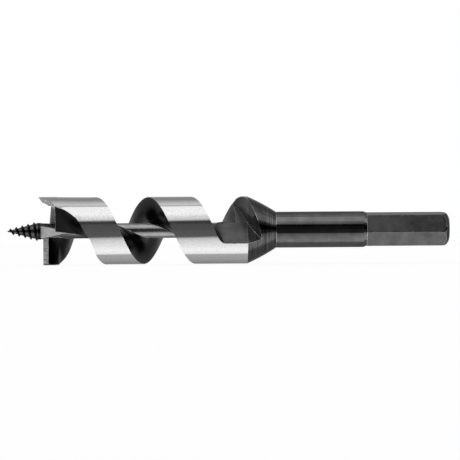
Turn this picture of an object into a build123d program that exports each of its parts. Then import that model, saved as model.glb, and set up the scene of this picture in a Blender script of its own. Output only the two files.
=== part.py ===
from build123d import *
from math import cos, radians, sin, tan
import os

# Short auger bit for wood, 24 mm, with a 7/16 in hexagonal drive. All sizes in millimetres.
#
# Frame: the bit's axis is X. The origin is the centre of the drive end's flat face, the feed
# screw's point is at the far end of -X, and +Z is up. Angles round the bit are in degrees
# from +Z towards -Y, which is the way a right-hand twist turns as X grows.

# ---- radii -------------------------------------------------------------------------------
HEAD_RADIUS = 12.05
TWIST_RADIUS = 11.87  # the twist is a little smaller than the head, so that it doesn't bind
CORE_RADIUS = 2.65
NECK_RADIUS = 2.85
SHANK_RADIUS = 6.35
HEX_ACROSS_FLATS = 11.11
HEX_CORNER_ANGLE = 38.8  # one corner of the hexagon, round the bit

# ---- stations along the axis -------------------------------------------------------------
SCREW_TIP_X = -156.0
SCREW_END_X = -144.3
COLLAR_START_X = -145.2
HEAD_FRONT_X = -143.4
HEAD_BACK_X = -139.1
HEAD_TAPER_END_X = -130.0
HEAD_END_X = -122.0  # the flute has its steady shape from here on
FLUTE_START_X = -144.5
FLUTE_END_X = -75.5
TWIST_END_X = -71.5
SHOULDER_END_X = -61.3
SHANK_END_X = -29.3

# ---- feed screw --------------------------------------------------------------------------
SCREW_PITCH = 2.08
SCREW_POINT_RADIUS = 0.1
COLLAR_RADIUS = 2.95
THREAD_HEIGHT = 0.72
THREAD_HALF_BASE = 0.52
THREAD_CREST_X = -155.0  # where the thread's crest first crosses the top
THREAD_RISE = 0.9  # the thread grows out of the point over this length
THREAD_END = 0.3  # and ends against the collar over this one
THREAD_LEAST = 0.03  # the share of its height that the thread keeps at both ends
THREAD_STEPS_PER_TURN = 14
SCREW_TAIL_RADIUS = 1.4
SCREW_TAIL_LENGTH = 9.0

# ---- twist -------------------------------------------------------------------------------
TWIST_PITCH = 33.3
TIP_EDGE_X = -106.27  # where the land's tip-side edge crosses the top on the second turn
DRIVE_EDGE_X = -124.68  # where the land's other edge crosses the top on the first turn
DEG_PER_MM = 360.0 / TWIST_PITCH
FLUTE_ROOT_RADIUS = 2.35  # just inside the core, so that the flute bares the whole core
HEAD_ROOT_RADIUS = 2.6
FLUTE_OUTSIDE_RADIUS = 16.0
TIP_WALL_SWEEP = 40.0  # how far round the core each flute wall reaches from its land edge
HOLLOW_WALL_SWEEP = 66.0
DRIVE_WALL_SWEEP = 66.0
RAKE_WALL_SWEEP = 21.0
RAKE_WALL_BEND = 0.3  # where a straight wall's middle control point lies along it
HEAD_STEP = 0.7
TWIST_STEP = 1.6

# ---- the milled flat where the flute runs out in the shoulder ----------------------------
RUNOUT_RISE_X = -86.0  # the flute's root starts to rise towards the flat here
RUNOUT_START_X = -79.6
RUNOUT_ROOT_RADIUS = 3.0
RUNOUT_DRIVE_WALL_SWEEP = 75.3
RUNOUT_ANGLE = 38.5
RUNOUT_DEPTH_RADIUS = 2.95
RUNOUT_WALL_LEAN = 7.0
# the end wall's foot, on the flat: (along the bit, across it)
RUNOUT_WALL = [
    (-78.0, 14.0),
    (-76.2, 11.2),
    (-74.4, 8.4),
    (-72.7, 4.1),
    (-69.8, -3.3),
    (-67.1, -8.2),
    (-64.0, -13.5),
]

# ---- head --------------------------------------------------------------------------------
RELIEF_STEP_ANGLE = 10.0
RELIEF_SECTIONS = 24
RELIEF_LEVEL_SWEEP = 60.0  # it stays level over this much at its end
RELIEF_OVERLAP = 0.5
RELIEF_INNER_RADIUS = 0.8
LIP_ANGLE = 170.0
LIP_THICKNESS = 1.85
LIP_SEAM_ANGLE = 236.0
LIP_SPACE_CORNER = (3.5, 110.0)  # radius and angle: where the rake face runs out on the core
LIP_SPACE_MARGIN = 15.0  # the space starts this far in front of the lip's rake face
LIP_SPACE_RADIUS = 20.0
RAKE_FLAT_OFFSET = 1.75
RAKE_FLAT_RISE = 1.05
RAKE_FLAT_TILT = 11.0
RAKE_FLAT_END_X = -135.0
SPUR_TIP_X = -144.95
SPUR_WALL = 2.0  # its thickness at its root
SPUR_EDGE = 0.12  # and at its point
SPUR_BLUNT_EDGE = 1.75  # and along its sides
SPUR_SHARP_SHARE = 0.35  # the share of each side over which the point widens to that
SPUR_ROOT_X = -138.6
SPUR_TRAILING_ANGLE = 41.0
SPUR_TRAILING_X = -139.4
SPUR_LEADING_ANGLE = -30.0
SPUR_LEADING_X = -141.4
SPUR_STEP_ANGLE = 5.0

# ---- shoulder, shank and drive end -------------------------------------------------------
SHOULDER_MIDDLE_RADIUS = 9.4
SHANK_CHAMFER = 0.45
SHANK_CHAMFER_LENGTH = 1.1
DRIVE_ROUND = 3.3
DRIVE_END_RADIUS = SHANK_RADIUS - DRIVE_ROUND

# ---- hidden joints between the pieces ----------------------------------------------------
CORE_SOCKET_DEPTH = 5.0
SHANK_SPIGOT_RADIUS = 4.2
SHANK_SPIGOT_LENGTH = 3.8
DRIVE_SPIGOT_RADIUS = 3.6
DRIVE_SPIGOT_LENGTH = 7.0


def across(x):
    """The plane square to the bit at x: its own x is the frame's Y and its own y the frame's Z."""
    return Plane(origin=(x, 0, 0), x_dir=(0, 1, 0), z_dir=(1, 0, 0))


def along(angle):
    """The half plane through the axis at an angle: its own x is the axis, its own y the radius."""
    return Plane(
        origin=(0, 0, 0), x_dir=(1, 0, 0), z_dir=(0, -cos(radians(angle)), -sin(radians(angle)))
    )


def polar(radius, angle):
    """A point on a plane square to the bit, from its radius and its angle round the bit."""
    return (-radius * sin(radians(angle)), radius * cos(radians(angle)))


def smooth_through(points, x):
    """A value on a smooth curve through the (x, value) points, held level past both ends."""
    last = len(points) - 1
    i = next((n for n in range(last) if x <= points[n + 1][0]), last - 1)

    def slope(n):
        a, b = points[max(n - 1, 0)], points[min(n + 1, last)]
        return (b[1] - a[1]) / (b[0] - a[0])

    (x0, v0), (x1, v1) = points[i], points[i + 1]
    span = x1 - x0
    t = min(max((x - x0) / span, 0.0), 1.0)
    return (
        (2 * t**3 - 3 * t**2 + 1) * v0
        + (t**3 - 2 * t**2 + t) * span * slope(i)
        + (3 * t**2 - 2 * t**3) * v1
        + (t**3 - t**2) * span * slope(i + 1)
    )


def helix_point(crossing_x, turn, x):
    """(x, angle) on a land edge that crosses the top at crossing_x after that many turns."""
    return (x, 360.0 * turn + (x - crossing_x) * DEG_PER_MM)


# The land's tip-side edge. It follows the twist, except over the head, where the hollow
# behind the spur cuts it back on the near side.
TIP_SIDE_EDGE = [
    (-144.6, 372.0),
    (-139.5, 401.0),
    (-136.0, 410.5),
    (-133.3, 421.0),
    (-130.7, 434.5),
    (-128.8, 453.0),
    (-126.8, 466.5),
    (-124.5, 500.0),
    (-122.6, 522.0),
    helix_point(TIP_EDGE_X, 2, -112.0),
    helix_point(TIP_EDGE_X, 2, -108.0),
    helix_point(TIP_EDGE_X, 2, -77.0),
    helix_point(TIP_EDGE_X, 2, FLUTE_END_X),
]
# The land's drive-side edge. It starts at the cutting lip, stays in the lip's plane for the
# depth of the throat, and then follows the twist until the milled flat ends it.
DRIVE_SIDE_EDGE = [
    (-144.6, LIP_ANGLE),
    (-141.5, LIP_ANGLE),
    (-138.3, 182.0),
    (-137.2, 201.0),
    (-135.7, 216.5),
    (-134.4, 231.0),
    (-133.0, 251.0),
    (-130.5, 287.0),
    helix_point(DRIVE_EDGE_X, 1, -126.0),
    helix_point(DRIVE_EDGE_X, 1, -122.0),
    helix_point(DRIVE_EDGE_X, 1, -84.5),
    helix_point(DRIVE_EDGE_X, 1, -81.5),
    (-79.4, 833.8),
    (FLUTE_END_X, 833.8),
]


def flute_wall_sweeps(x):
    """How far round the core the flute's two walls reach at x."""
    tip_wall = [
        (-139.5, HOLLOW_WALL_SWEEP),
        (-130.0, HOLLOW_WALL_SWEEP - 3),
        (HEAD_END_X, TIP_WALL_SWEEP),
    ]
    drive_wall = [
        (-141.5, RAKE_WALL_SWEEP),
        (-138.3, 54.0),
        (-136.6, 72.0),
        (-134.8, 73.0),
        (-131.5, DRIVE_WALL_SWEEP),
        (-120.0, DRIVE_WALL_SWEEP),
        (RUNOUT_RISE_X, DRIVE_WALL_SWEEP),
        (RUNOUT_START_X, RUNOUT_DRIVE_WALL_SWEEP),
    ]
    return smooth_through(tip_wall, x), smooth_through(drive_wall, x)


def flute_root_radius(x):
    """The flute bares the core all along, and rises to the milled flat where it meets it."""
    depths = [
        (-134.0, HEAD_ROOT_RADIUS),
        (-124.0, FLUTE_ROOT_RADIUS),
        (RUNOUT_RISE_X, FLUTE_ROOT_RADIUS),
        (RUNOUT_START_X, RUNOUT_ROOT_RADIUS),
    ]
    return smooth_through(depths, x)


def drive_wall_bend(x, root, edge, sweep):
    """The drive-side wall's middle control point: the wall is straight at the cutting lip."""
    straight = smooth_through([(-141.6, 1.0), (-139.4, 0.0)], x)
    curved_y, curved_z = polar(root / cos(radians(sweep)), edge)
    (root_y, root_z), (rim_y, rim_z) = polar(root, edge - sweep), polar(HEAD_RADIUS, edge)
    straight_y = root_y + (rim_y - root_y) * RAKE_WALL_BEND
    straight_z = root_z + (rim_z - root_z) * RAKE_WALL_BEND
    return (
        curved_y + (straight_y - curved_y) * straight,
        curved_z + (straight_z - curved_z) * straight,
    )


def flute_section(x):
    """The flute's outline square to the bit: two curved walls, the core between them."""
    tip_edge = smooth_through(TIP_SIDE_EDGE, x)
    drive_edge = smooth_through(DRIVE_SIDE_EDGE, x) + 360.0
    root = flute_root_radius(x)
    tip_sweep, drive_sweep = flute_wall_sweeps(x)
    tip_root = tip_edge + tip_sweep
    drive_root = drive_edge - drive_sweep
    middle = (tip_root + drive_root) / 2
    outside = (tip_edge + drive_edge) / 2
    with BuildSketch(across(x)) as outline:
        with BuildLine():
            ThreePointArc(
                polar(root, tip_root),
                polar(root, middle),
                polar(root, drive_root),
            )
            Bezier(
                polar(root, drive_root),
                drive_wall_bend(x, root, drive_edge, drive_sweep),
                polar(HEAD_RADIUS, drive_edge),
            )
            Line(polar(HEAD_RADIUS, drive_edge), polar(FLUTE_OUTSIDE_RADIUS, drive_edge))
            ThreePointArc(
                polar(FLUTE_OUTSIDE_RADIUS, drive_edge),
                polar(FLUTE_OUTSIDE_RADIUS, outside),
                polar(FLUTE_OUTSIDE_RADIUS, tip_edge),
            )
            Line(polar(FLUTE_OUTSIDE_RADIUS, tip_edge), polar(HEAD_RADIUS, tip_edge))
            Bezier(
                polar(HEAD_RADIUS, tip_edge),
                polar(root / cos(radians(tip_sweep)), tip_edge),
                polar(root, tip_root),
            )
        make_face()
    return outline.sketch


def stations(start, end, step):
    """Evenly spaced places along the axis, from start up to but not at the end."""
    count = round((end - start) / step)
    return [start + (end - start) * i / count for i in range(count)]


# ---- the flute: the space that the chips leave by ------------------------------------------
flute_stations = (
    stations(FLUTE_START_X, HEAD_END_X, HEAD_STEP)
    + stations(HEAD_END_X, FLUTE_END_X, TWIST_STEP)
    + [FLUTE_END_X]
)
with BuildPart() as flute:
    loft(sections=[flute_section(x) for x in flute_stations])

# The milled flat that carries the flute out through the shoulder. Its end wall is curved, as
# the round cutter leaves it.
runout_plane = Plane(
    origin=(
        0,
        -RUNOUT_DEPTH_RADIUS * sin(radians(RUNOUT_ANGLE)),
        RUNOUT_DEPTH_RADIUS * cos(radians(RUNOUT_ANGLE)),
    ),
    x_dir=(1, 0, 0),
    z_dir=(0, -sin(radians(RUNOUT_ANGLE)), cos(radians(RUNOUT_ANGLE))),
)


def runout_section(height):
    """The milled flat's outline at a height above its floor: its end wall leans back."""
    lean = height * tan(radians(RUNOUT_WALL_LEAN))
    wall = [(x + lean, y) for x, y in RUNOUT_WALL]
    with BuildSketch(runout_plane.offset(height)) as outline:
        with BuildLine():
            Spline(*wall)
            Polyline(
                wall[-1],
                (RUNOUT_START_X, wall[-1][1]),
                (RUNOUT_START_X, wall[0][1]),
                wall[0],
            )
        make_face()
    return outline.sketch


with BuildPart() as runout:
    loft(sections=[runout_section(0), runout_section(FLUTE_OUTSIDE_RADIUS)], ruled=True)

# The ground relief in front of the head: it falls back steadily behind the cutting lip.
relief_angles = [LIP_ANGLE + RELIEF_STEP_ANGLE * i for i in range(RELIEF_SECTIONS)]
relief_end_angle = relief_angles[-1]
with BuildPart() as relief:
    for angle in relief_angles:
        share = (angle - LIP_ANGLE) / (relief_end_angle - LIP_ANGLE)
        back = HEAD_FRONT_X + (HEAD_BACK_X - HEAD_FRONT_X) * share
        with BuildSketch(along(angle)):
            with BuildLine():
                Polyline(
                    (SCREW_TIP_X, RELIEF_INNER_RADIUS),
                    (back, RELIEF_INNER_RADIUS),
                    (back, FLUTE_OUTSIDE_RADIUS),
                    (SCREW_TIP_X, FLUTE_OUTSIDE_RADIUS),
                    close=True,
                )
            make_face()
    loft(ruled=True)

# the last part of the relief, in front of the hollow, is level
with BuildPart() as level_relief:
    with BuildSketch(across(SCREW_TIP_X)):
        with BuildLine():
            Polyline(
                (0, 0),
                polar(FLUTE_OUTSIDE_RADIUS, relief_end_angle - RELIEF_OVERLAP),
                polar(FLUTE_OUTSIDE_RADIUS, relief_end_angle + RELIEF_LEVEL_SWEEP),
                close=True,
            )
        make_face()
    extrude(amount=HEAD_BACK_X - SCREW_TIP_X)

# ---- center core: the solid rod down the middle of the twist -------------------------------
with BuildPart() as core_rod:
    with BuildSketch(Plane.XY):
        with BuildLine():
            Polyline(
                (SCREW_END_X, 0),
                (SCREW_END_X, NECK_RADIUS),
                (HEAD_BACK_X, CORE_RADIUS),
                (TWIST_END_X + CORE_SOCKET_DEPTH, CORE_RADIUS),
                (TWIST_END_X + CORE_SOCKET_DEPTH, 0),
                close=True,
            )
        make_face()
    revolve(axis=Axis.X)

with BuildPart() as center_core:
    add(core_rod.part)
    # the blind socket for the feed screw's tail
    with BuildSketch(across(SCREW_END_X)):
        Circle(SCREW_TAIL_RADIUS)
    extrude(amount=SCREW_TAIL_LENGTH, mode=Mode.SUBTRACT)
    # the ground flat that carries the lip's rake face across the core
    with BuildSketch(Plane.XY.rotated((RAKE_FLAT_TILT, 0, 0))):
        with BuildLine():
            Polyline(
                (SCREW_END_X - 1, -RAKE_FLAT_OFFSET),
                (RAKE_FLAT_END_X, -RAKE_FLAT_OFFSET - RAKE_FLAT_RISE),
                (RAKE_FLAT_END_X, -8),
                (SCREW_END_X - 1, -8),
                close=True,
            )
        make_face()
    extrude(amount=NECK_RADIUS + 1, both=True, mode=Mode.SUBTRACT)

# ---- the twist, from which the flight and the cutting lip are divided ----------------------
with BuildPart() as twist:
    with BuildSketch(Plane.XY):
        with BuildLine():
            Polyline(
                (HEAD_FRONT_X, 0),
                (HEAD_FRONT_X, HEAD_RADIUS),
                (HEAD_TAPER_END_X, TWIST_RADIUS),
                (TWIST_END_X, TWIST_RADIUS),
                (TWIST_END_X, 0),
                close=True,
            )
        make_face()
    revolve(axis=Axis.X)
    add(flute.part, mode=Mode.SUBTRACT)
    add(runout.part, mode=Mode.SUBTRACT)
    add(relief.part, mode=Mode.SUBTRACT)
    add(level_relief.part, mode=Mode.SUBTRACT)
    add(core_rod.part, mode=Mode.SUBTRACT)

# the space that the cutting lip takes: a wedge of the head's front, behind the rake face
with BuildPart() as lip_space:
    with BuildSketch(across(HEAD_FRONT_X - 1)):
        with BuildLine():
            Polyline(
                polar(*LIP_SPACE_CORNER),
                polar(LIP_SPACE_RADIUS, LIP_ANGLE - LIP_SPACE_MARGIN),
                polar(LIP_SPACE_RADIUS, LIP_SEAM_ANGLE),
                close=True,
            )
        make_face()
    extrude(amount=1 + LIP_THICKNESS)

with BuildPart() as helical_flight:
    add(twist.part)
    add(lip_space.part, mode=Mode.SUBTRACT)

with BuildPart() as cutting_lip:
    add(twist.part)
    add(lip_space.part, mode=Mode.INTERSECT)

# ---- scoring spur: a thin curved tooth at the rim, sharpened from the inside ---------------
def spur_side(start_angle, end_angle, start_x, end_x):
    """Radial sections of one side of the tooth, from its point to where it meets the head."""
    steps = round(abs(end_angle - start_angle) / SPUR_STEP_ANGLE)
    sections = []
    for i in range(steps + 1):
        share = i / steps
        front = start_x + (end_x - start_x) * share
        edge = SPUR_EDGE + (SPUR_BLUNT_EDGE - SPUR_EDGE) * min(share / SPUR_SHARP_SHARE, 1.0)
        with BuildSketch(along(start_angle + (end_angle - start_angle) * share)) as section:
            with BuildLine():
                Polyline(
                    (front, HEAD_RADIUS + 1),
                    (front, HEAD_RADIUS - edge),
                    (SPUR_ROOT_X, HEAD_RADIUS - SPUR_WALL),
                    (SPUR_ROOT_X, HEAD_RADIUS + 1),
                    close=True,
                )
            make_face()
        sections.append(section.sketch)
    return sections


with BuildPart() as scoring_spur:
    loft(sections=spur_side(0, SPUR_TRAILING_ANGLE, SPUR_TIP_X, SPUR_TRAILING_X), ruled=True)
    loft(sections=spur_side(0, SPUR_LEADING_ANGLE, SPUR_TIP_X, SPUR_LEADING_X), ruled=True)
    with BuildSketch(across(SPUR_TIP_X - 1)):
        Circle(HEAD_RADIUS)
    extrude(amount=SPUR_ROOT_X - SPUR_TIP_X + 2, mode=Mode.INTERSECT)
    add(twist.part, mode=Mode.SUBTRACT)


# ---- feed screw ----------------------------------------------------------------------------
def screw_root_radius(x):
    share = (x - SCREW_TIP_X) / (COLLAR_START_X - SCREW_TIP_X)
    return SCREW_POINT_RADIUS + (COLLAR_RADIUS - SCREW_POINT_RADIUS) * share


def thread_section(x):
    """The screw's outline square to its axis: the cone's circle with one pointed lobe."""
    root = screw_root_radius(x)
    fade = min((x - SCREW_TIP_X) / THREAD_RISE, (COLLAR_START_X - x) / THREAD_END, 1.0)
    height = THREAD_HEIGHT * max(fade, THREAD_LEAST)
    crest_angle = (x - THREAD_CREST_X) / SCREW_PITCH * 360.0
    half_base = THREAD_HALF_BASE / SCREW_PITCH * 360.0
    shares = [0.0, 0.25, 0.5, 0.75, 1.0]
    rising = [polar(root + height * s, crest_angle - half_base * (1 - s)) for s in shares]
    falling = [polar(root + height * (1 - s), crest_angle + half_base * s) for s in shares]
    with BuildSketch(across(x)) as outline:
        with BuildLine():
            Spline(*rising)
            Spline(*falling)
            ThreePointArc(falling[-1], polar(root, crest_angle + 180), rising[0])
        make_face()
    return outline.sketch


thread_stations = stations(SCREW_TIP_X, COLLAR_START_X, SCREW_PITCH / THREAD_STEPS_PER_TURN)
with BuildPart() as lead_screw:
    loft(sections=[thread_section(x) for x in thread_stations + [COLLAR_START_X]])
    with BuildSketch(across(COLLAR_START_X)):
        Circle(COLLAR_RADIUS)
    extrude(amount=SCREW_END_X - COLLAR_START_X)
    with BuildSketch(across(SCREW_END_X)):
        Circle(SCREW_TAIL_RADIUS)
    extrude(amount=SCREW_TAIL_LENGTH)

# ---- shoulder: the turned cone between the twist and the shank -----------------------------
with BuildPart() as shoulder:
    with BuildSketch(Plane.XY):
        with BuildLine():
            ThreePointArc(
                (TWIST_END_X, TWIST_RADIUS),
                ((TWIST_END_X + SHOULDER_END_X) / 2, SHOULDER_MIDDLE_RADIUS),
                (SHOULDER_END_X, SHANK_RADIUS),
            )
            Polyline(
                (SHOULDER_END_X, SHANK_RADIUS),
                (SHOULDER_END_X, 0),
                (TWIST_END_X, 0),
                (TWIST_END_X, TWIST_RADIUS),
            )
        make_face()
    revolve(axis=Axis.X)
    add(runout.part, mode=Mode.SUBTRACT)
    with BuildSketch(across(TWIST_END_X)):
        Circle(CORE_RADIUS)
    extrude(amount=CORE_SOCKET_DEPTH, mode=Mode.SUBTRACT)
    with BuildSketch(across(SHOULDER_END_X)):
        Circle(SHANK_SPIGOT_RADIUS)
    extrude(amount=-SHANK_SPIGOT_LENGTH, mode=Mode.SUBTRACT)

# ---- round shank ---------------------------------------------------------------------------
with BuildPart() as round_shank:
    with BuildSketch(Plane.XY):
        with BuildLine():
            Polyline(
                (SHOULDER_END_X - SHANK_SPIGOT_LENGTH, 0),
                (SHOULDER_END_X - SHANK_SPIGOT_LENGTH, SHANK_SPIGOT_RADIUS),
                (SHOULDER_END_X, SHANK_SPIGOT_RADIUS),
                (SHOULDER_END_X, SHANK_RADIUS),
                (SHANK_END_X - SHANK_CHAMFER_LENGTH, SHANK_RADIUS),
                (SHANK_END_X, SHANK_RADIUS - SHANK_CHAMFER),
                (SHANK_END_X, DRIVE_SPIGOT_RADIUS),
                (SHANK_END_X - DRIVE_SPIGOT_LENGTH, DRIVE_SPIGOT_RADIUS),
                (SHANK_END_X - DRIVE_SPIGOT_LENGTH, 0),
                close=True,
            )
        make_face()
    revolve(axis=Axis.X)

# ---- hex drive: the hexagon a chuck holds, its end rounded over in a lathe -----------------
with BuildPart() as hex_drive:
    with BuildSketch(across(SHANK_END_X)):
        RegularPolygon(
            radius=HEX_ACROSS_FLATS / 2,
            side_count=6,
            major_radius=False,
            rotation=90 + HEX_CORNER_ANGLE,
        )
    extrude(amount=-SHANK_END_X)
    with BuildSketch(Plane.XY):
        with BuildLine():
            RadiusArc((-DRIVE_ROUND, SHANK_RADIUS), (0, DRIVE_END_RADIUS), DRIVE_ROUND)
            Polyline(
                (0, DRIVE_END_RADIUS),
                (0, 0),
                (SHANK_END_X, 0),
                (SHANK_END_X, SHANK_RADIUS),
                (-DRIVE_ROUND, SHANK_RADIUS),
            )
        make_face()
    revolve(axis=Axis.X, mode=Mode.INTERSECT)
    with BuildSketch(across(SHANK_END_X)):
        Circle(DRIVE_SPIGOT_RADIUS)
    extrude(amount=-DRIVE_SPIGOT_LENGTH)

# ---- the finished pieces -------------------------------------------------------------------
pieces = {
    "lead_screw": lead_screw,
    "cutting_lip": cutting_lip,
    "scoring_spur": scoring_spur,
    "center_core": center_core,
    "helical_flight": helical_flight,
    "shoulder": shoulder,
    "round_shank": round_shank,
    "hex_drive": hex_drive,
}
os.makedirs("parts", exist_ok=True)
for piece_name, piece in pieces.items():
    piece.part.label = piece_name
    export_step(piece.part, f"parts/{piece_name}.step")
    print(piece_name, round(piece.part.volume, 1), piece.part.bounding_box().size)
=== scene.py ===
import math

import bpy
from mathutils import Matrix, Vector


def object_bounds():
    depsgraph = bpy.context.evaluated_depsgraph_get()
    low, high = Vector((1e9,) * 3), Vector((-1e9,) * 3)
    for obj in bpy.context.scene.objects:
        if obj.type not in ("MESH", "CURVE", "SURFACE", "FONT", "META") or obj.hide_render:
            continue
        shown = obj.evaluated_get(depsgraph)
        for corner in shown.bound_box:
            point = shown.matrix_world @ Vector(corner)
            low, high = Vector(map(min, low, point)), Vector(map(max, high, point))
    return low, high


# A short auger bit, lying along X with its feed screw at -X. Everything is in metres.

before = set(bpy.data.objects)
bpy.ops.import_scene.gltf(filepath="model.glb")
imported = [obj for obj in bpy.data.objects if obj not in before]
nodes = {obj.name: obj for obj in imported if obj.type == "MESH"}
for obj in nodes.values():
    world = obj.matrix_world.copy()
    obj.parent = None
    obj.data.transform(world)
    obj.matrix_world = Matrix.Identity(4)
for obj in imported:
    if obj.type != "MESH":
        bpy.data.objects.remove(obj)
cad_low, cad_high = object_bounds()

# ---- the greys of the steel ----------------------------------------------------------------
LAND_GREY = 0.9
FLANK_GREY = 0.04
CORE_GREY = 0.42
SHANK_GREY = 0.15
SHOULDER_GREY = 0.1
HEX_GREY = 0.12
SCREW_GREY = 0.11

# Shares that a grey is multiplied by, in one place.
CORE_THROAT_SHADE_SHARE = 0.22  # painted shade: the core is darker at the head, in the throat behind the lip and spur
RUNOUT_SHARE = 3.2  # the milled flat is brighter than the flanks
HOLLOW_SHADE_SHARE = 0.35  # painted shade: the flanks are darker in the hollow behind the spur
THREAD_SHARE = 0.22  # the screw's crests and collar are darker than its roots

# Shares of the light that a matt surface would give.
LAND_MATT = 0.09
STONE_MATT = 0.8

# Roughness, from the smoothest place to the roughest.
OXIDE_ROUGH = (0.2, 0.32)
BAR_ROUGH = (0.09, 0.15)
LAND_ROUGH = (0.06, 0.11)
STONE_ROUGH = (0.4, 0.6)
RAKE_ROUGH = 0.5

# ---- where a finish or a painted shade changes: from one place along X to another ----------
# where the flanks' painted shade in the hollow at the head ends: from, to
HOLLOW_SHADE_END = (-0.126, -0.118)
RUNOUT_START = (-0.086, -0.079)
# where the core's painted shade in the throat at the head ends: from, to
CORE_THROAT_SHADE_END = (-0.128, -0.118)
RAKE_END = (-0.1355, -0.1352)
COLLAR_X = -0.1452
COLLAR_START = (-0.1455, COLLAR_X)

# ---- where a finish changes: from one height to another ------------------------------------
LAND_EDGE = (0.01166, 0.01172)  # above the bit's axis
LAND_WANDER = 0.00004  # how far the land's edge strays to either side
THREAD_EDGE = (0.00012, 0.0005)  # above the root of the screw's thread

# The root of the screw's thread is a cone, which ends at the collar.
ROOT_START_X = -0.156
ROOT_RADII = (0.0001, 0.00295)

# The rake face across the core leans down a little.
RAKE_LEAN = math.radians(11.0)
RAKE_MATCH = (0.982, 0.99)  # cosines of the angle between a surface and the rake face

# ---- textures ------------------------------------------------------------------------------
# Noises: marks to a metre, more or less, then detail and roughness.
CLOUDS = (220.0, 3.0, 0.55)
STONE_MARKS = (700.0, 4.0, 0.7)
WANDERING = (700.0, 4.0, 0.55)
WORN_PATCHES = (900.0, 4.0, 0.55)
LAND_MARKS = (1500.0, 4.0, 0.7)
SPECKLES = (3400.0, 3.0, 0.7)
LATHE_RINGS = (3600.0, 3.0, 0.7)
TOOTH = (5200.0, 3.0, 0.55)

# The middle stretch of a noise, to be spread out: the shorter it is, the starker the marks.
SOFT = (0.25, 0.75)
CLEAR = (0.3, 0.7)
STARK = (0.35, 0.65)
STARKEST = (0.38, 0.62)
PATCHY = (0.35, 0.6)

# What the noises multiply a grey by, from their darkest marks to their brightest.
CLOUD_SHARES = (0.75, 1.25)
TOOTH_SHARES = (0.85, 1.15)
LAND_MARK_SHARES = (0.93, 1.05)
SPECKLE_SHARES = (0.8, 1.08)
RING_SHARES = (0.45, 1.6)
WORN_SHARES = (0.3, 1.0)

# The greys of freshly ground steel, from its darkest marks to its brightest.
STONE_GREYS = (0.32, 1.0)
RAKE_GREYS = (0.72, 1.0)

# How much closer the marks lie along X, Y and Z.
LAND_CLOSER = (5.0, 1.0, 1.0)
RINGS_CLOSER = (1.0, 0.02, 0.02)
STONE_CLOSER = (1.0, 1.0, 7.0)
RAKE_CLOSER = (1.0, 1.0, 6.0)
STONE_SLANT = math.radians(35.0)

# Bumps: strength, depth.
LAND_BUMP = (0.5, 0.00002)
BAR_BUMP = (0.15, 0.00002)
RING_BUMP = (0.3, 0.00006)
STONE_BUMP = (0.4, 0.00004)
RAKE_BUMP = (0.3, 0.00003)
SCREW_BUMP = (0.3, 0.00002)
SPECKLE_HEIGHT = 0.6  # beside 1 for the land's marks

# Worn edges: width, grey.
FLIGHT_WEAR = (0.00016, 0.5)
BAR_WEAR = (0.00022, 0.85)
BEND = (0.985, 0.93)  # cosines of the bend where wear begins and where it is full
BEND_SAMPLES = 6


# ---- small helpers for shader nodes --------------------------------------------------------
class Nodes:
    """A tree of shader nodes, with one short method for each kind of node used here."""

    def __init__(self, owner):
        owner.use_nodes = True
        self.tree = owner.node_tree
        self.tree.nodes.clear()

    def add(self, kind, **settings):
        node = self.tree.nodes.new(kind)
        for key, value in settings.items():
            setattr(node, key, value)
        return node

    def feed(self, socket, value):
        if isinstance(value, bpy.types.NodeSocket):
            self.tree.links.new(value, socket)
        else:
            socket.default_value = value

    def math(self, operation, a, b=0.0):
        node = self.add("ShaderNodeMath", operation=operation)
        self.feed(node.inputs[0], a)
        self.feed(node.inputs[1], b)
        return node.outputs[0]

    def span(self, value, low, high, to_low=0.0, to_high=1.0, curve="LINEAR"):
        node = self.add("ShaderNodeMapRange", interpolation_type=curve)
        self.feed(node.inputs["Value"], value)
        node.inputs["From Min"].default_value = low
        node.inputs["From Max"].default_value = high
        node.inputs["To Min"].default_value = to_low
        node.inputs["To Max"].default_value = to_high
        return node.outputs[0]

    def axes(self, vector):
        """The x, y and z of a vector."""
        node = self.add("ShaderNodeSeparateXYZ")
        self.feed(node.inputs[0], vector)
        return node.outputs[0], node.outputs[1], node.outputs[2]

    def mix(self, share, first, second):
        """A surface between two others."""
        node = self.add("ShaderNodeMixShader")
        for socket, value in zip(node.inputs, (share, first, second)):
            self.feed(socket, value)
        return node.outputs[0]

    def output(self, kind, surface):
        self.feed(self.add(kind).inputs["Surface"], surface)


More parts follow.
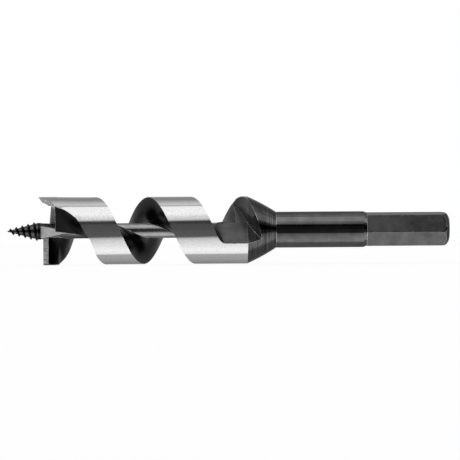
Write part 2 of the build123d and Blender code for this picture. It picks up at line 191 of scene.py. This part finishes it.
class Steel(Nodes):
    """A steel material, with the textures that its finishes are made of."""

    def __init__(self, name):
        self.material = bpy.data.materials.new(name)
        super().__init__(self.material)
        self.place = self.add("ShaderNodeTexCoord").outputs["Object"]
        self.x, self.y, self.z = self.axes(self.place)

    def closer(self, factors, slant=0.0):
        """The place, scaled along each axis and then turned about Y."""
        node = self.add("ShaderNodeMapping")
        self.feed(node.inputs["Vector"], self.place)
        node.inputs["Rotation"].default_value = (0.0, slant, 0.0)
        node.inputs["Scale"].default_value = factors
        return node.outputs[0]

    def noise(self, vector, scale, detail, roughness):
        node = self.add("ShaderNodeTexNoise")
        self.feed(node.inputs["Vector"], vector)
        node.inputs["Scale"].default_value = scale
        node.inputs["Detail"].default_value = detail
        node.inputs["Roughness"].default_value = roughness
        return node.outputs["Fac"]

    def blend(self, share, a, b):
        """A value between a and b."""
        node = self.add("ShaderNodeMix", data_type="FLOAT")
        self.feed(node.inputs[0], share)
        self.feed(node.inputs[2], a)
        self.feed(node.inputs[3], b)
        return node.outputs[0]

    def grey(self, value):
        node = self.add("ShaderNodeCombineColor")
        for socket in node.inputs:
            self.feed(socket, value)
        return node.outputs[0]

    def bump(self, height, strength, distance, normal=None):
        node = self.add("ShaderNodeBump")
        self.feed(node.inputs["Height"], height)
        node.inputs["Strength"].default_value = strength
        node.inputs["Distance"].default_value = distance
        if normal is not None:
            self.feed(node.inputs["Normal"], normal)
        return node.outputs[0]

    def radius(self):
        """Distance from the bit's axis."""
        across = self.math("MULTIPLY", self.y, self.y)
        upward = self.math("MULTIPLY", self.z, self.z)
        return self.math("SQRT", self.math("ADD", across, upward))

    def edge(self, width):
        """1 where the surface bends sharply within the width, for worn edges; else 0."""
        bevel = self.add("ShaderNodeBevel", samples=BEND_SAMPLES)
        bevel.inputs["Radius"].default_value = width
        true_normal = self.add("ShaderNodeNewGeometry").outputs["Normal"]
        product = self.add("ShaderNodeVectorMath", operation="DOT_PRODUCT")
        self.feed(product.inputs[0], bevel.outputs[0])
        self.feed(product.inputs[1], true_normal)
        return self.span(product.outputs["Value"], *BEND)

    def worn(self, value, width, shine):
        """The grey, worn bright along the sharp edges, unevenly."""
        patchy = self.span(self.noise(self.place, *WORN_PATCHES), *PATCHY, *WORN_SHARES)
        return self.blend(self.math("MULTIPLY", self.edge(width), patchy), value, shine)

    def oxide(self, base, roughness=OXIDE_ROUGH):
        """Satin black oxide: (grey, roughness, height), cloudy, with a fine tooth."""
        cloud = self.noise(self.place, *CLOUDS)
        tooth = self.noise(self.place, *TOOTH)
        value = self.span(cloud, *CLEAR, *[base * share for share in CLOUD_SHARES])
        value = self.math("MULTIPLY", value, self.span(tooth, *CLEAR, *TOOTH_SHARES))
        return value, self.span(cloud, *SOFT, *roughness), tooth

    def ground(self, base):
        """Ground steel: (grey, roughness, height), with fine marks round the bit."""
        marks = self.noise(self.closer(LAND_CLOSER), *LAND_MARKS)
        speckle = self.noise(self.place, *SPECKLES)
        value = self.span(marks, *CLEAR, *[base * share for share in LAND_MARK_SHARES])
        value = self.math("MULTIPLY", value, self.span(speckle, *STARK, *SPECKLE_SHARES))
        height = self.math("ADD", marks, self.math("MULTIPLY", speckle, SPECKLE_HEIGHT))
        return value, self.span(marks, *SOFT, *LAND_ROUGH), height

    def metal(self, value, roughness, normal, matt=None):
        """A bare metal surface: a mirror-like lobe, and a matt one that takes the share matt."""
        shader = self.add("ShaderNodeBsdfPrincipled")
        shader.inputs["Metallic"].default_value = 1.0
        colour = self.grey(value)
        self.feed(shader.inputs["Base Color"], colour)
        self.feed(shader.inputs["Roughness"], roughness)
        self.feed(shader.inputs["Normal"], normal)
        surface = shader.outputs[0]
        if matt is not None:
            diffuse = self.add("ShaderNodeBsdfDiffuse")
            self.feed(diffuse.inputs["Color"], colour)
            self.feed(diffuse.inputs["Normal"], normal)
            surface = self.mix(matt, surface, diffuse.outputs[0])
        self.output("ShaderNodeOutputMaterial", surface)
        return self.material


# ---- the finishes --------------------------------------------------------------------------
def twist_steel():
    """The flight: its land ground bright, its flanks left black."""
    n = Steel("twist_steel")
    black, black_rough, tooth = n.oxide(FLANK_GREY)
    # Painted shade: the flanks are darkened at the head, in the hollow behind the spur.
    black = n.math("MULTIPLY", black, n.span(n.x, *HOLLOW_SHADE_END, HOLLOW_SHADE_SHARE, 1.0))
    black = n.math("MULTIPLY", black, n.span(n.x, *RUNOUT_START, 1.0, RUNOUT_SHARE))
    bright, bright_rough, marks = n.ground(LAND_GREY)
    stray = n.span(n.noise(n.place, *WANDERING), *CLEAR, -1.0, 1.0)
    uneven = n.math("MULTIPLY", stray, LAND_WANDER)
    on_land = n.span(n.math("ADD", n.radius(), uneven), *LAND_EDGE)
    value = n.blend(on_land, n.worn(black, *FLIGHT_WEAR), bright)
    rough = n.blend(on_land, black_rough, bright_rough)
    height = n.blend(on_land, tooth, marks)
    matt = n.math("MULTIPLY", on_land, LAND_MATT)
    return n.metal(value, rough, n.bump(height, *LAND_BUMP), matt)


def black_steel(name, base, turned=False):
    """Black oxide, with the rings that a lathe leaves where it was turned."""
    n = Steel(name)
    value, rough, tooth = n.oxide(base, BAR_ROUGH)
    normal = n.bump(tooth, *BAR_BUMP)
    if turned:
        rings = n.noise(n.closer(RINGS_CLOSER), *LATHE_RINGS)
        value = n.math("MULTIPLY", value, n.span(rings, *STARK, *RING_SHARES))
        normal = n.bump(rings, *RING_BUMP, normal)
    return n.metal(n.worn(value, *BAR_WEAR), rough, normal)


def lip_steel():
    """The lip and the spur: freshly ground, with coarse slanting marks."""
    n = Steel("lip_steel")
    marks = n.noise(n.closer(STONE_CLOSER, STONE_SLANT), *STONE_MARKS)
    stone = n.span(marks, *STARKEST, *STONE_GREYS)
    stone_rough = n.span(marks, *SOFT, *STONE_ROUGH)
    bright, bright_rough, land_marks = n.ground(LAND_GREY)
    on_land = n.span(n.radius(), *LAND_EDGE)
    value = n.blend(on_land, stone, bright)
    rough = n.blend(on_land, stone_rough, bright_rough)
    height = n.blend(on_land, marks, land_marks)
    matt = n.blend(on_land, STONE_MATT, LAND_MATT)
    return n.metal(value, rough, n.bump(height, *STONE_BUMP), matt)


def core_steel():
    """The core: worn grey, but bright where the rake face is ground across it."""
    n = Steel("core_steel")
    grey, grey_rough, tooth = n.oxide(CORE_GREY)
    # Painted shade: the core is darkened at the head, in the throat behind the lip.
    grey = n.math("MULTIPLY", grey, n.span(n.x, *CORE_THROAT_SHADE_END, CORE_THROAT_SHADE_SHARE, 1.0))
    marks = n.noise(n.closer(RAKE_CLOSER), *STONE_MARKS)
    faces = n.axes(n.add("ShaderNodeNewGeometry").outputs["True Normal"])
    frontward = n.math("MULTIPLY", faces[1], -math.cos(RAKE_LEAN))
    downward = n.math("MULTIPLY", faces[2], -math.sin(RAKE_LEAN))
    along_rake = n.span(n.math("ADD", frontward, downward), *RAKE_MATCH)
    flat = n.math("MULTIPLY", along_rake, n.span(n.x, *RAKE_END, 1.0, 0.0))
    value = n.blend(flat, grey, n.span(marks, *STARK, *RAKE_GREYS))
    rough = n.blend(flat, grey_rough, RAKE_ROUGH)
    height = n.blend(flat, tooth, marks)
    matt = n.math("MULTIPLY", flat, STONE_MATT)
    return n.metal(value, rough, n.bump(height, *RAKE_BUMP), matt)


def screw_steel():
    """The feed screw: dark at its crests and collar, a little brighter at the roots."""
    n = Steel("screw_steel")
    value, rough, tooth = n.oxide(SCREW_GREY)
    root = n.span(n.x, ROOT_START_X, COLLAR_X, *ROOT_RADII)
    on_thread = n.span(n.math("SUBTRACT", n.radius(), root), *THREAD_EDGE)
    dark = n.math("MAXIMUM", on_thread, n.span(n.x, *COLLAR_START))
    value = n.math("MULTIPLY", value, n.blend(dark, 1.0, THREAD_SHARE))
    return n.metal(value, rough, n.bump(tooth, *SCREW_BUMP))


finishes = {
    "helical_flight": twist_steel(),
    "center_core": core_steel(),
    "cutting_lip": lip_steel(),
    "scoring_spur": lip_steel(),
    "shoulder": black_steel("shoulder_steel", SHOULDER_GREY, turned=True),
    "round_shank": black_steel("shank_steel", SHANK_GREY),
    "hex_drive": black_steel("hex_steel", HEX_GREY),
    "lead_screw": screw_steel(),
}
for node_name, finish in finishes.items():
    mesh = nodes[node_name].data
    mesh.materials.clear()
    mesh.materials.append(finish)

# ---- the studio ----------------------------------------------------------------------------
# What the steel mirrors, going round the bit: (degrees from straight behind it, over the top,
# to the front and back underneath; brightness).
STUDIO = [
    (0, 0.33), (20, 0.30), (48, 0.22), (68, 0.50), (82, 0.72), (85, 0.36), (88, 0.42),
    (90, 1.05), (125, 1.12), (143, 0.85), (148, 0.01), (155, 0.002), (159, 0.05), (172, 0.06),
    (202, 0.07), (207, 0.58), (218, 0.78), (250, 1.1), (268, 0.98), (270, 0.42),
    (300, 0.34), (325, 0.22), (345, 0.28), (360, 0.33),
]

# Towards the drive end, the front part of the upper light fades.
FADE_SIDEWAYS = (0.040, 0.068)  # the x of a direction: from, to
FADE_DEGREES = (118, 134)  # round the bit, as above: from, to
FADE_LOSS = 0.88


def studio_world():
    world = bpy.data.worlds.new("studio")
    n = Nodes(world)
    sideways, back, up = n.axes(n.add("ShaderNodeTexCoord").outputs["Generated"])
    turn = n.math("FRACT", n.math("DIVIDE", n.math("ARCTAN2", up, back), math.tau))
    ramp = n.add("ShaderNodeValToRGB")
    stops = ramp.color_ramp.elements
    while len(stops) > 1:
        stops.remove(stops[0])
    for i, (degrees, level) in enumerate(STUDIO):
        stop = stops[0] if i == 0 else stops.new(degrees / 360)
        stop.position = degrees / 360
        stop.color = (level, level, level, 1)
    n.feed(ramp.inputs[0], turn)
    fade = n.span(sideways, *FADE_SIDEWAYS, 0.0, FADE_LOSS)
    zone = n.span(turn, *[degrees / 360 for degrees in FADE_DEGREES], curve="SMOOTHSTEP")
    over_the_top = n.math("LESS_THAN", turn, 0.5)
    loss = n.math("MULTIPLY", n.math("MULTIPLY", zone, over_the_top), fade)
    lit = n.add("ShaderNodeBackground")
    n.feed(lit.inputs["Color"], ramp.outputs[0])
    n.feed(lit.inputs["Strength"], n.math("SUBTRACT", 1.0, loss))
    paper = n.add("ShaderNodeBackground")
    paper.inputs["Color"].default_value = (1, 1, 1, 1)
    seen = n.add("ShaderNodeLightPath").outputs["Is Camera Ray"]
    n.output("ShaderNodeOutputWorld", n.mix(seen, lit.outputs[0], paper.outputs[0]))
    bpy.context.scene.world = world


studio_world()

# ---- floor ---------------------------------------------------------------------------------
FLOOR_HALF = 3.0
FLOOR_GAP = 0.0001
PAPER_GLOW = 0.84
PAPER_GREY = 0.25


def paper_floor():
    """A sheet of white paper under the bit. It glows a little, so that it has no grey edge."""
    mesh = bpy.data.meshes.new("floor")
    z = cad_low[2] - FLOOR_GAP
    corners = [(-1, -1), (1, -1), (1, 1), (-1, 1)]
    mesh.from_pydata([(a * FLOOR_HALF, b * FLOOR_HALF, z) for a, b in corners], [], [(0, 1, 2, 3)])
    floor = bpy.data.objects.new("floor", mesh)
    bpy.context.scene.collection.objects.link(floor)
    paper = bpy.data.materials.new("paper")
    n = Nodes(paper)
    glow = n.add("ShaderNodeEmission")
    glow.inputs["Strength"].default_value = PAPER_GLOW
    matt = n.add("ShaderNodeBsdfDiffuse")
    matt.inputs["Color"].default_value = (PAPER_GREY, PAPER_GREY, PAPER_GREY, 1)
    total = n.add("ShaderNodeAddShader")
    n.feed(total.inputs[0], glow.outputs[0])
    n.feed(total.inputs[1], matt.outputs[0])
    n.output("ShaderNodeOutputMaterial", total.outputs[0])
    mesh.materials.append(paper)
    floor.visible_glossy = False
    floor.visible_diffuse = False
    floor.visible_shadow = False


paper_floor()

# ---- camera --------------------------------------------------------------------------------
SENSOR_WIDTH_MM = 36.0
VIEW_WIDTH = 0.1624  # what the picture's width spans, at the bit
VIEW_DISTANCE = 1.6
FARTHEST_SEEN = 50.0
AZIMUTH = math.radians(-1.6)
ROLL = math.radians(0.38)
AIM = Vector((-0.0775, 0.0, 0.0))


def studio_camera():
    data = bpy.data.cameras.new("camera")
    data.sensor_width = SENSOR_WIDTH_MM
    data.lens = data.sensor_width * VIEW_DISTANCE / VIEW_WIDTH
    data.clip_end = FARTHEST_SEEN
    camera = bpy.data.objects.new("camera", data)
    bpy.context.scene.collection.objects.link(camera)
    away = Vector((math.sin(AZIMUTH), -math.cos(AZIMUTH), 0.0))
    place = Matrix.Translation(AIM + away * VIEW_DISTANCE)
    facing = (-away).to_track_quat("-Z", "Y").to_matrix().to_4x4()
    camera.matrix_world = place @ facing @ Matrix.Rotation(-ROLL, 4, "Z")
    bpy.context.scene.camera = camera


studio_camera()
bpy.context.scene.view_settings.view_transform = "Standard"
